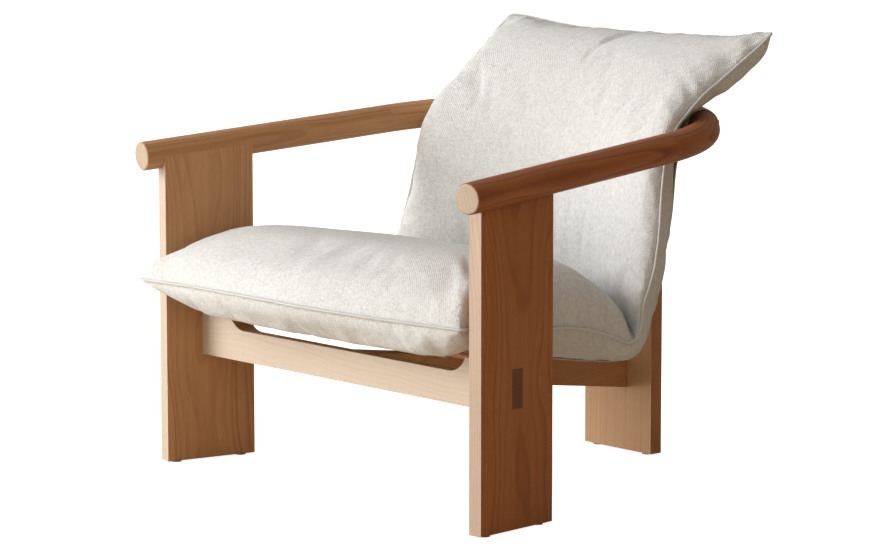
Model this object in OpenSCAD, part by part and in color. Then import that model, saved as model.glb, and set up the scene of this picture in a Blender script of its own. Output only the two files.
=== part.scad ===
// Lounge armchair: three broad boards carry a round rail that runs up one
// side, around the back and down the other. A folded cushion lies in a canvas
// sling, which hangs between the front rail and the back of the round rail.
//
// Frame: +Z up, the front faces -Y, and +X is the sitter's left. The origin
// is on the floor under the middle of the whole chair. Lengths are in mm.

/* [Boards] */
// Thickness of the three upright boards
board_t = 25; // [22:1:28]
// Width of the three upright boards
board_w = 171; // [150:1:190]
// Width over the outer faces of the front boards, at their front edges
front_w = 854; // [840:2:880]
// Front edge of the front boards to the front face of the rear board
rear_y = 684; // [676:2:700]
// Angle by which each side turns in towards the back
toe = 8; // [7:0.5:9]
// Height of the nylon glides under the boards
glide_h = 3; // [2:0.5:4]

/* [Round rail] */
// Diameter of the round rail
rail_d = 50; // [46:1:52]
// Height of the rail's centre over the front edge of the front boards
rail_z = 534; // [520:2:540]
// Slope of the rail, rising to the back
rail_rise = 5; // [4:0.5:6]
// Length of the arm ahead of the front boards
arm_front = 33; // [20:1:34]
// Radius of the two back bends, at the rail's centre
bend_r = 300; // [285:1:320]
// Rounding of the arm ends
arm_end_r = 4; // [2:0.5:8]

/* [Front rail and stretcher] */
// Front boards' front edge to the front rail's front face
cross_y = 65; // [60:1:70]
// Thickness of the front rail
cross_t = 40; // [36:1:44]
// Underside of the front rail, over the underside of the boards
cross_z0 = 184; // [170:1:190]
// Top of the front rail at its raised ends
cross_z1 = 263; // [260:0.5:264]
// Bottom of the dip along the front rail
dip_z = 237; // [230:1:240]
// Half the length of the flat in the dip
dip_flat = 272; // [255:1:276]
// Width of the centre stretcher
stretcher_w = 50; // [40:1:60]
// Slope of the stretcher and of the dip, falling to the back
seat_fall = 7.1; // [6:0.1:8]
// Shoulder left around every tenon
shoulder = 7.5; // [6:0.5:9]

/* [Sling] */
// Diameter of the wooden rod in the sling's front sleeve
rod_d = 12; // [10:0.5:12]
// Width of the canvas sling
sling_w = 480; // [420:10:500]
// Thickness of the canvas, doubled and quilted
sling_t = 2.5; // [1.5:0.5:2.5]

/* [Cushion] */
// Height of the seat's crown over its welt
seat_crown = 129; // [100:1:132]
// Height of the back's crown ahead of its welt
back_crown = 74; // [60:1:90]
// Depth of the cushion's underside and rear below its welt
belly = 54; // [44:1:54]

/* [Hidden] */
$fn = 64;

wood = "#d8ab7c";
end_grain = "#b98556";
canvas = "#cfc6b2";
cloth = "#e8e6e0";
steel = "#a9adb0";
nylon = "#8a8a86";

mid_y = 361.1;          // middle of the whole chair, behind the front boards' front edge
rail_r = rail_d / 2;
half_w = front_w / 2;
slack = 0.15;           // glue line or running clearance on each side
saddle_r = rail_r + slack;              // hollow in a front board's top, where the rail sits
rear_saddle_r = rail_r + 1.2;           // wider, because the bends start over the rear board
back_y = rear_y + board_t;              // the rail's centre over the rear board's rear face

// The round rail lies in one plane, which leans up to the back. Its outline in
// that plane: an arm line turned in by toe, a bend, and a straight across the back.
plan_back = back_y / cos(rail_rise);
plan_corner = half_w - plan_back * tan(toe);
bend_turn = 90 - toe;
bend_run = bend_r * tan(bend_turn / 2);
bend_centre = [plan_corner - bend_run, plan_back - bend_r];
arm_len = arm_front / cos(toe) + (plan_back - bend_run * cos(toe)) / cos(toe);

// Dowels
dowel_d = 12;
dowel_in = 30;          // depth of a dowel in a board
dowel_up = 8;           // a board dowel's top over the rail's centre
board_dowel_at = [45, board_w - 45];
joint_dowel_d = 16;
joint_dowel_len = 80;
back_dowel_len = 40;
rear_dowel_x = 30;

// Tenons
tenon_t = cross_t - 2 * shoulder;
tenon_z0 = cross_z0 + shoulder;
tenon_h = cross_z1 - cross_z0 - 2 * shoulder;
stub_len = 24;

// Dip
dip_fillet = 45;
dip_side = 55;          // slope of the dip's ends from the horizontal

// Stretcher: its top runs on from the dip's bottom
stretcher_y0 = cross_y + cross_t;
stretcher_top0 = dip_z - cross_t * tan(seat_fall);
stretcher_h = stretcher_top0 - cross_z0;

// Sling
rod_y = cross_y + 27;
rod_z = 258;
rod_half = 343;
sleeve_t = 1.35;
sleeve_r = rail_r + 2 * slack + 2 * sleeve_t;
sleeve_arc = 35;        // how far the back sleeve reaches around each bend
sleeve_from = 5.5;      // where it starts, beside the rear board
screw_arcs = [9, 20, 31];
screw_d = 4;
screw_len = 24;
head_d = 8;
head_h = 3;
washer_d = 14;
washer_t = 1.2;

// Glides
glide_d = 18;
pin_d = 4;
pin_len = 14;
glide_at = [22, board_w - 22];

// Cushion: the surface through its welt, from the front edge (u = 0) over the
// fold (u = 0.5) to the top edge (u = 1). Down the middle each point is
// [y, z], and down a side it is [half width, y, z]. The cushion's front corner
// stands out past the sitter's right board, and is tucked in at the left.
middle_line = [
    [-58, 325], [71, 304], [210, 287], [350, 276], [464, 264], [535, 281],
    [568, 365], [593, 473], [615, 574], [664, 661], [773, 722]
];
side_line = [
    [391, -11, 322], [384, 71, 315], [373, 165, 306], [364, 255, 296], [352, 334, 278],
    [340, 406, 258], [334, 435, 326], [326, 470, 415], [311, 504, 570],
    [310, 587, 650], [340, 727, 754]
];
ear = [45, -28, -4];    // how far the right front corner stands out
ear_u = 0.012;          // how soon it draws in again along the side
seam_half = 3;          // half the thickness of the cushion at its welt
fold_gap = 0.6;         // between the seat and back halves, at the fold
length_mid = 1150;      // along the middle line, front edge to top edge

// ---- helpers ----

function spline(a, b, c, d, t) =
    0.5 * (2 * b + (c - a) * t + (2 * a - 5 * b + 4 * c - d) * t * t
           + (3 * b - a - 3 * c + d) * t * t * t);

function along(points, u) =
    let (n = len(points) - 1, f = min(max(u, 0) * n, n - 0.000001), i = floor(f))
    spline(points[max(i - 1, 0)], points[i], points[i + 1], points[min(i + 2, n)], f - i);

function bell(u, at, width) = exp(-pow((u - at) / width, 2));

// Welt surface at x = -1 (sitter's right) to 1 (left), u = 0 to 1
function welt(x, u) =
    let (m = along(middle_line, u), s = along(side_line, u), k = x * x,
         e = x < 0 ? pow(x, 8) * bell(u, 0, ear_u) : 0)
    [x * s[0] - e * ear[0],
     m[0] + (s[1] - m[0]) * k + e * ear[1],
     m[1] + (s[2] - m[1]) * k + e * ear[2]];

// Direction away from the sitter, square to the surface in its own Y-Z plane
function outward(x, u) =
    let (a = welt(x, u - 0.004), b = welt(x, u + 0.004), d = [b[1] - a[1], b[2] - a[2]])
    [0, d[1], -d[0]] / norm(d);

// How far the sling leaves the cushion to meet the round rail
function sling_lean(x, u) =
    let (f = min(max((u - 0.75) / 0.09, 0), 1))
    (2 + 28 * bell(abs(x), 185, 80)) * f * f * (u < 0.9 ? 1 : 0);

function rise(u, run, power) = sqrt(max(1 - pow(1 - min(u / run, 1), power), 0));

// Depth of the cushion behind and in front of the welt surface
function belly_at(x, u) =
    seam_half + (belly - seam_half - 22 * bell(u, 0.12, 0.05) - (5 + 15 * x * x) * bell(u, 0.853, 0.05))
    * pow(1 - pow(abs(x), 6), 0.4) * rise(u, 0.10, 2.3) * rise(1 - u, 0.055, 2.2);

function crown_at(x, u) =
    let (crown = u < 0.5 ? seat_crown : back_crown,
         side = u < 0.5 ? pow(1 - pow(abs(x), 4), 0.3) : pow(1 - pow(abs(x), 2.2), 0.5),
         fold = 1 - exp(-abs(u - 0.5) * length_mid * 1.1 / crown))
    seam_half + (crown - seam_half) * fold * side * rise(u, 0.185, 2.45) * rise(1 - u, 0.21, 1.7);

function ease(a, b, n) = [for (i = [0 : n]) a + (b - a) * (1 - cos(180 * i / n)) / 2];
function even(a, b, n) = [for (i = [0 : n]) a + (b - a) * i / n];

// Closed solid between two grids of points of the same size
module between(grid_a, grid_b) {
    rows = len(grid_a);
    cols = len(grid_a[0]);
    total = rows * cols;
    function at(r, c) = r * cols + c;
    function strip(list, n) =
        [for (i = [0 : n - 2])
            each [[list[i], list[i + 1], list[i + 1] + total], [list[i], list[i + 1] + total, list[i] + total]]];
    function flip(list) = [for (f = list) [f[0], f[2], f[1]]];
    function edge_row(r) = [for (c = [0 : cols - 1]) at(r, c)];
    function edge_col(c) = [for (r = [0 : rows - 1]) at(r, c)];
    cells = [for (r = [0 : rows - 2], c = [0 : cols - 2])
        each [[at(r, c), at(r + 1, c), at(r + 1, c + 1)], [at(r, c), at(r + 1, c + 1), at(r, c + 1)]]];
    polyhedron(
        points = concat([for (row = grid_a) each row], [for (row = grid_b) each row]),
        faces = concat(
            cells,
            [for (f = flip(cells)) [f[0] + total, f[1] + total, f[2] + total]],
            strip(edge_row(0), cols), flip(strip(edge_row(rows - 1), cols)),
            flip(strip(edge_col(0), rows)), strip(edge_col(cols - 1), rows)),
        convexity = 6);
}

// Part of the cushion from u0 to u1
module pad(u0, u1, across, down) {
    xs = ease(-1, 1, across);
    us = ease(u0, u1, down);
    between(
        [for (u = us) [for (x = xs) welt(x, u) - outward(x, u) * crown_at(x, u)]],
        [for (u = us) [for (x = xs) welt(x, u) + outward(x, u) * belly_at(x, u)]]);
}

// Point at a distance d off the cushion's underside
function skin(x, u, d) =
    let (k = x / along(side_line, u)[0], p = welt(k, u))
    [x, p[1], p[2]] + outward(k, u) * (belly_at(k, u) + d);

// Layer that follows the cushion's underside, from d0 to d1 off it
module layer(half, u0, u1, d0, d1, across, down) {
    xs = even(-half, half, across);
    us = even(u0, u1, down);
    between(
        [for (u = us) [for (x = xs) skin(x, u, d0 + sling_lean(x, u))]],
        [for (u = us) [for (x = xs) skin(x, u, d1 + sling_lean(x, u))]]);
}

module place() translate([0, -mid_y, glide_h]) children();
module on_rail_plane() translate([0, 0, rail_z]) rotate([rail_rise, 0, 0]) children();
module right_side() mirror([1, 0, 0]) children();
module both_sides() for (side = [0, 1]) mirror([side, 0, 0]) children();

// Along the sitter's left board: origin at its front outer edge, +Y along it
module on_board() translate([half_w, 0, 0]) rotate([0, 0, toe]) children();

// ---- round rail ----

module arm_line() translate([half_w, 0, 0]) rotate([0, 0, toe]) rotate([-90, 0, 0])
    translate([0, 0, -arm_front / cos(toe)]) children();

module arm_bar() {
    corner = [for (a = [-90 : 15 : 0]) [rail_r - arm_end_r + arm_end_r * cos(a), arm_end_r + arm_end_r * sin(a)]];
    arm_line() rotate_extrude() polygon(concat([[0, 0]], corner, [[rail_r, arm_len], [0, arm_len]]));
}

module bend_bar() translate(bend_centre) rotate([0, 0, toe]) rotate_extrude(angle = bend_turn)
    translate([bend_r, 0]) circle(rail_r);

// Straight length of the rail behind the sitter
module back_bar(r, half) translate([-half, plan_back, 0]) rotate([0, 90, 0]) cylinder(r = r, h = 2 * half);

module arm_joint(d, len) arm_line() translate([0, 0, arm_len - len / 2]) cylinder(d = d, h = len);

module back_joint(d, len) translate([bend_centre[0] - len / 2, plan_back, 0]) rotate([0, 90, 0])
    cylinder(d = d, h = len);

// Upright dowels between a front board and its arm
module board_dowels(d, extra) on_board() for (s = board_dowel_at)
    let (z = rail_z + s * cos(toe) * tan(rail_rise) - rail_r * cos(30))
    translate([-board_t / 2, s, z - dowel_in - extra])
        cylinder(d = d, h = dowel_in + rail_r * cos(30) + dowel_up + 2 * extra);

module rear_dowels(d, extra) for (x = [-rear_dowel_x, rear_dowel_x])
    let (z = rail_z + back_y * tan(rail_rise) - rail_r * cos(30))
    translate([x, back_y - board_t / 2, z - dowel_in - extra])
        cylinder(d = d, h = dowel_in + rail_r * cos(30) + dowel_up + 2 * extra);

// Places of the sling's screws on the sitter's left bend, pointing at the rail's centre
module at_screws() for (a = screw_arcs)
    translate(bend_centre) rotate([0, 0, 90 - a]) translate([bend_r, 0, 0]) rotate([0, -90, 0]) children();

module arm() color(wood) difference() {
    on_rail_plane() arm_bar();
    board_dowels(dowel_d + 2 * slack, 1);
    on_rail_plane() arm_joint(joint_dowel_d + 2 * slack, joint_dowel_len + 2);
}

module bend() color(wood) difference() {
    on_rail_plane() bend_bar();
    on_rail_plane() arm_joint(joint_dowel_d + 2 * slack, joint_dowel_len + 2);
    on_rail_plane() back_joint(joint_dowel_d + 2 * slack, back_dowel_len + 2);
    on_rail_plane() at_screws()
        translate([0, 0, -rail_r - 1]) cylinder(d = screw_d + 2 * slack, h = screw_len + 2);
}

module back_rail() color(wood) difference() {
    on_rail_plane() back_bar(rail_r, bend_centre[0]);
    both_sides() on_rail_plane() back_joint(joint_dowel_d + 2 * slack, back_dowel_len + 2);
    rear_dowels(dowel_d + 2 * slack, 1);
}

module left_arm() arm();
module right_arm() right_side() arm();
module left_bend() bend();
module right_bend() right_side() bend();
module left_board_dowels() color(end_grain) board_dowels(dowel_d, 0);
module right_board_dowels() right_side() left_board_dowels();
module rear_board_dowels() color(end_grain) rear_dowels(dowel_d, 0);

module arm_joint_dowels() color(end_grain) both_sides() on_rail_plane()
    arm_joint(joint_dowel_d, joint_dowel_len);

module back_joint_dowels() color(end_grain) both_sides() on_rail_plane()
    back_joint(joint_dowel_d, back_dowel_len);

// ---- boards ----

module above_rail() on_rail_plane() translate([-600, -200, 0]) cube([1200, 1200, 200]);

module cross_tenon(gap) translate([-half_w, cross_y + shoulder - gap, tenon_z0 - gap])
    cube([front_w, tenon_t + 2 * gap, tenon_h + 2 * gap]);

module board_pins(d, extra) for (s = glide_at)
    translate([-board_t / 2, s, -1]) cylinder(d = d, h = pin_len + 1 + extra);

module front_board() color(wood) difference() {
    on_board() translate([-board_t, 0, 0]) cube([board_t, board_w, rail_z + rail_r]);
    above_rail();
    on_rail_plane() arm_line() cylinder(r = saddle_r, h = arm_len);
    cross_tenon(slack);
    board_dowels(dowel_d + 2 * slack, 1);
    on_board() board_pins(pin_d + 2 * slack, 1);
}

module rear_pins(d, extra) for (s = glide_at)
    translate([s - board_w / 2, rear_y + board_t / 2, -1]) cylinder(d = d, h = pin_len + 1 + extra);

module rear_board() color(wood) difference() {
    translate([-board_w / 2, rear_y, 0]) cube([board_w, board_t, rail_z + 2 * rail_d]);
    above_rail();
    on_rail_plane() back_bar(rear_saddle_r, board_w);
    stretcher_tenons(slack);
    rear_dowels(dowel_d + 2 * slack, 1);
    rear_pins(pin_d + 2 * slack, 1);
}

module left_front_board() front_board();
module right_front_board() right_side() front_board();

module glide() translate([0, 0, -glide_h]) {
    cylinder(d = glide_d, h = glide_h);
    cylinder(d = pin_d, h = glide_h + pin_len);
}

module floor_glides() color(nylon) {
    for (s = glide_at) {
        on_board() translate([-board_t / 2, s, 0]) glide();
        right_side() on_board() translate([-board_t / 2, s, 0]) glide();
        translate([s - board_w / 2, rear_y + board_t / 2, 0]) glide();
    }
}

// ---- front rail and stretcher ----

// Space between the two front boards' faces, depth in from their outer faces
module between_boards(depth) linear_extrude(600)
    let (x0 = half_w - depth / cos(toe), y0 = -50, y1 = 250)
    polygon([[x0 - y0 * tan(toe), y0], [x0 - y1 * tan(toe), y1],
             [-x0 + y1 * tan(toe), y1], [-x0 + y0 * tan(toe), y0]]);

module dip_cut() {
    end = [for (a = [-90 : 5 : -90 + dip_side])
        [dip_flat + dip_fillet * cos(a), dip_fillet + dip_fillet * sin(a)]];
    last = end[len(end) - 1];
    top = [last[0] + (80 - last[1]) / tan(dip_side), 80];
    half = concat(end, [top]);
    other = [for (i = [len(half) - 1 : -1 : 0]) [-half[i][0], half[i][1]]];
    translate([0, cross_y, dip_z]) rotate([-seat_fall, 0, 0]) rotate([90, 0, 0])
        translate([0, 0, -cross_t - 40]) linear_extrude(cross_t + 80) polygon(concat(half, other));
}

module rod_notches() for (side = [-1, 1]) scale([side, 1, 1]) {
    translate([dip_flat, rod_y, rod_z]) rotate([0, 90, 0]) cylinder(d = rod_d + 2 * slack, h = rod_half + 1 - dip_flat);
    translate([dip_flat, rod_y - rod_d / 2 - slack, rod_z])
        cube([rod_half + 1 - dip_flat, rod_d + 2 * slack, 60]);
}

// Outline of the stretcher seen from the side, as [y, z]
function stretcher_top(y) = stretcher_top0 - (y - stretcher_y0) * tan(seat_fall);

module side_strip(width, y0, y1, drop, depth) translate([-width / 2, 0, 0])
    rotate([90, 0, 90]) linear_extrude(width)
        polygon([[y0, stretcher_top(y0) - drop], [y1, stretcher_top(y1) - drop],
                 [y1, stretcher_top(y1) - drop - depth], [y0, stretcher_top(y0) - drop - depth]]);

module stretcher_tenons(gap) {
    side_strip(stretcher_w - 4 * shoulder + 2 * gap, stretcher_y0 - stub_len - gap, stretcher_y0 + 1,
               shoulder - gap, stretcher_h - 2 * shoulder + 2 * gap);
    side_strip(stretcher_w - 2 * shoulder + 2 * gap, rear_y - 1, rear_y + board_t,
               shoulder - gap, stretcher_h - 2 * shoulder + 2 * gap);
}

module front_rail() color(wood) difference() {
    union() {
        intersection() {
            translate([-half_w, cross_y, cross_z0]) cube([front_w, cross_t, cross_z1 - cross_z0]);
            between_boards(board_t);
        }
        intersection() {
            cross_tenon(0);
            between_boards(0);
        }
    }
    dip_cut();
    rod_notches();
    stretcher_tenons(slack);
}

module centre_stretcher() color(wood) {
    side_strip(stretcher_w, stretcher_y0, rear_y, 0, stretcher_h);
    stretcher_tenons(0);
}

// ---- sling ----

module sling_panel() color(canvas)
    layer(sling_w / 2, 0.126, 0.845, 2, 2 + sling_t, 16, 46);

module sling_rod() color(end_grain) translate([-rod_half, rod_y, rod_z]) rotate([0, 90, 0])
    cylinder(d = rod_d, h = 2 * rod_half);

module sling_front_sleeve() color(canvas) translate([-sling_w / 2, rod_y, rod_z]) rotate([0, 90, 0])
    difference() {
        cylinder(d = rod_d + 2 * slack + 2 * sleeve_t, h = sling_w);
        translate([0, 0, -1]) cylinder(d = rod_d + 2 * slack, h = sling_w + 2);
    }

// Around the rail on both sides of the rear board, open underneath at the rear
module sling_back_sleeve() color(canvas) difference() {
    both_sides() on_rail_plane() translate(bend_centre) rotate([0, 0, 90 - sleeve_arc])
        rotate_extrude(angle = sleeve_arc - sleeve_from) translate([bend_r, 0]) difference() {
            circle(sleeve_r);
            circle(rail_r + 2 * slack);
            polygon([[0, 0], [60, -25], [60, -90], [-12, -90]]);
        }
    both_sides() on_rail_plane() at_screws()
        translate([0, 0, -rail_r - 20]) cylinder(d = screw_d + 2 * slack, h = 30);
}

module sling_washers() color(steel) both_sides() on_rail_plane() at_screws()
    translate([0, 0, -sleeve_r - washer_t]) difference() {
        cylinder(d = washer_d, h = washer_t);
        translate([0, 0, -1]) cylinder(d = screw_d + 2 * slack, h = washer_t + 2);
    }

module sling_screws() color(steel) both_sides() on_rail_plane() at_screws()
    translate([0, 0, -sleeve_r - washer_t]) {
        translate([0, 0, -head_h]) cylinder(d = head_d, h = head_h);
        cylinder(d = screw_d, h = screw_len);
    }

// ---- cushion ----

module seat_cushion() color(cloth) pad(0, 0.5 - fold_gap / length_mid, 24, 20);
module back_cushion() color(cloth) pad(0.5 + fold_gap / length_mid, 1, 24, 20);
module cushion_zip() color(cloth) layer(200, 0.935, 0.955, 0.4, 1.6, 16, 2);

place() left_front_board();
place() right_front_board();
place() rear_board();
place() front_rail();
place() centre_stretcher();
place() left_arm();
place() right_arm();
place() left_bend();
place() right_bend();
place() back_rail();
place() left_board_dowels();
place() right_board_dowels();
place() rear_board_dowels();
place() arm_joint_dowels();
place() back_joint_dowels();
place() floor_glides();
place() sling_panel();
place() sling_front_sleeve();
place() sling_back_sleeve();
place() sling_rod();
place() sling_screws();
place() sling_washers();
place() seat_cushion();
place() back_cushion();
place() cushion_zip();
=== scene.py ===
"""Looks for the lounge armchair: wood, folded cushion, canvas sling, zip, light and camera.

Lengths are in metres, in the CAD frame: +Z up, -Y to the front, +X to the sitter's left.
"""
import math

import bpy
import numpy as np
from mathutils import Euler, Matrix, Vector
from mathutils.bvhtree import BVHTree


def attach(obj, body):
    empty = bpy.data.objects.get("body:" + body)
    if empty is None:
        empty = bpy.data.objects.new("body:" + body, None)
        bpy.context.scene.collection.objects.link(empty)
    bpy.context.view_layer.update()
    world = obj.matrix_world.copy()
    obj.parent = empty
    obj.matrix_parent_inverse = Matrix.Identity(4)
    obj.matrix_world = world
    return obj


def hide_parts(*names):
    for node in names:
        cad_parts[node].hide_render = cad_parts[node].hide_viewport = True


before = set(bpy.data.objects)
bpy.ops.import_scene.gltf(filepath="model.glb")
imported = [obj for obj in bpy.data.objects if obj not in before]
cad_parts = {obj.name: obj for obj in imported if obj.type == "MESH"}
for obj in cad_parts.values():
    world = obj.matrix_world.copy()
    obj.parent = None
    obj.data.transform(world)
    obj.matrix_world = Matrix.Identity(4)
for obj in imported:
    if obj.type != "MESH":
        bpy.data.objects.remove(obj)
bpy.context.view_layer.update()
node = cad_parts

MM = 0.001
SHIFT = np.array([0.0, -361.1, 3.0])        # from the boards' front edges to the CAD origin, mm

# ---- camera ----

AZIMUTH, ELEVATION = math.radians(50.02), math.radians(7.59)
FOCAL_PX, IMAGE_PX, SENSOR_MM = 3454.5, 890, 36
CAMERA_AT = (4.4234, -3.7848, 1.1187)


def add_camera():
    data = bpy.data.cameras.new("camera")
    data.sensor_width = SENSOR_MM
    data.lens = SENSOR_MM * FOCAL_PX / IMAGE_PX
    data.clip_end = 60
    cam = bpy.data.objects.new("camera", data)
    level = math.cos(ELEVATION)
    back = Vector((math.sin(AZIMUTH) * level, -math.cos(AZIMUTH) * level, math.sin(ELEVATION)))
    cam.location = CAMERA_AT
    cam.rotation_mode = "QUATERNION"
    cam.rotation_quaternion = (-back).to_track_quat("-Z", "Y")
    bpy.context.collection.objects.link(cam)
    bpy.context.scene.camera = cam


# ---- node helper ----


class Shader:
    """Builds a material's node tree with few words."""

    def __init__(self, name):
        self.material = bpy.data.materials.new(name)
        self.material.use_nodes = True
        self.tree = self.material.node_tree
        self.tree.nodes.clear()

    def add(self, kind, inputs=None, out=0, **props):
        n = self.tree.nodes.new("ShaderNode" + kind)
        for k, v in props.items():
            setattr(n, k, v)
        for k, v in (inputs or {}).items():
            if isinstance(v, bpy.types.NodeSocket):
                self.tree.links.new(v, n.inputs[k])
            else:
                n.inputs[k].default_value = v
        return n.outputs[out] if len(n.outputs) else None

    def math(self, op, a, b=0.0, c=0.0):
        return self.add("Math", {0: a, 1: b, 2: c}, operation=op)

    def fit(self, v, a, b, lo=0.0, hi=1.0):
        """Maps a to b onto lo to hi, and clamps."""
        return self.add("MapRange", {"Value": v, "From Min": a, "From Max": b,
                                     "To Min": lo, "To Max": hi})

    def mix(self, f, a, b):
        n = self.tree.nodes.new("ShaderNodeMix")
        n.data_type = "RGBA"
        for i, v in ((0, f), (6, a), (7, b)):
            if isinstance(v, bpy.types.NodeSocket):
                self.tree.links.new(v, n.inputs[i])
            else:
                n.inputs[i].default_value = v
        return n.outputs[2]

    def noise(self, vector, scale, detail=2.0, rough=0.5, distortion=0.0):
        return self.add("TexNoise", {"Vector": vector, "Scale": scale, "Detail": detail,
                                     "Roughness": rough, "Distortion": distortion}, out=0)

    def split(self, vector):
        n = self.tree.nodes.new("ShaderNodeSeparateXYZ")
        self.tree.links.new(vector, n.inputs[0])
        return n.outputs

    def stretch(self, vector, x, y, z):
        return self.add("VectorMath", {0: vector, 1: (x, y, z)}, operation="MULTIPLY")

    def finish(self, color, rough, height, bump, distance, inputs=None):
        normal = self.add("Bump", {"Height": height, "Strength": bump, "Distance": distance})
        shader = self.add("BsdfPrincipled", {"Base Color": color, "Roughness": rough,
                                             "Normal": normal, **(inputs or {})})
        self.add("OutputMaterial", {"Surface": shader})
        return self.material


def rgb(r, g, b):
    return (r, g, b, 1.0)


# ---- wood ----


def straight(origin, turn):
    """Coordinates along a straight piece: its own Z runs along the grain. A local() also
    gives how squarely a face meets the grain, and how squarely it faces the piece's Y."""
    def local(m):
        p = m.add("TexCoord", out=3)
        n = m.add("TexCoord", out=1)
        moved = m.add("Mapping", {"Vector": p, "Location": origin, "Rotation": turn}, vector_type="TEXTURE")
        sep = m.split(m.add("Mapping", {"Vector": n, "Rotation": turn}, vector_type="TEXTURE"))
        return moved, m.math("ABSOLUTE", sep[2]), m.math("ABSOLUTE", sep[1])
    return local


def curved(centre, side, lean, radius):
    """Coordinates along a bend: across the rail, over it, and along its centre line."""
    def local(m):
        p = m.add("TexCoord", out=3)
        q = m.add("Mapping", {"Vector": p, "Location": centre, "Rotation": (lean, 0, 0)},
                  vector_type="TEXTURE")
        sep = m.split(q)
        x, y = m.math("MULTIPLY", sep[0], side), sep[1]
        angle = m.math("ARCTAN2", y, x)
        far = m.math("SQRT", m.math("ADD", m.math("MULTIPLY", x, x), m.math("MULTIPLY", y, y)))
        v = m.add("CombineXYZ", {0: m.math("SUBTRACT", far, radius), 1: sep[2],
                                 2: m.math("MULTIPLY", angle, radius)})
        zero = m.math("MULTIPLY", x, 0.0)
        return v, zero, zero
    return local


# Each pair is early wood and late wood. The pale edge and end colours, paler than the faces, are painted
# highlight: they stand in for the key light on the boards' narrow faces, the front rail's front face and the
# ends. The deep pair is painted shade for the rear board's side faces.
FACE, FACE_DARK = (0.56, 0.285, 0.120), (0.26, 0.088, 0.026)
PAINTED_LIT_EDGE, PAINTED_LIT_EDGE_DARK = (0.555, 0.46, 0.36), (0.37, 0.265, 0.175)
PAINTED_LIT_END, PAINTED_LIT_END_DARK = (0.43, 0.335, 0.245), (0.26, 0.16, 0.10)
TENON = (0.15, 0.062, 0.026), (0.095, 0.036, 0.015)
PAINTED_SHADE_SIDE, PAINTED_SHADE_SIDE_DARK = (0.44, 0.17, 0.058), (0.22, 0.07, 0.02)


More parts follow.
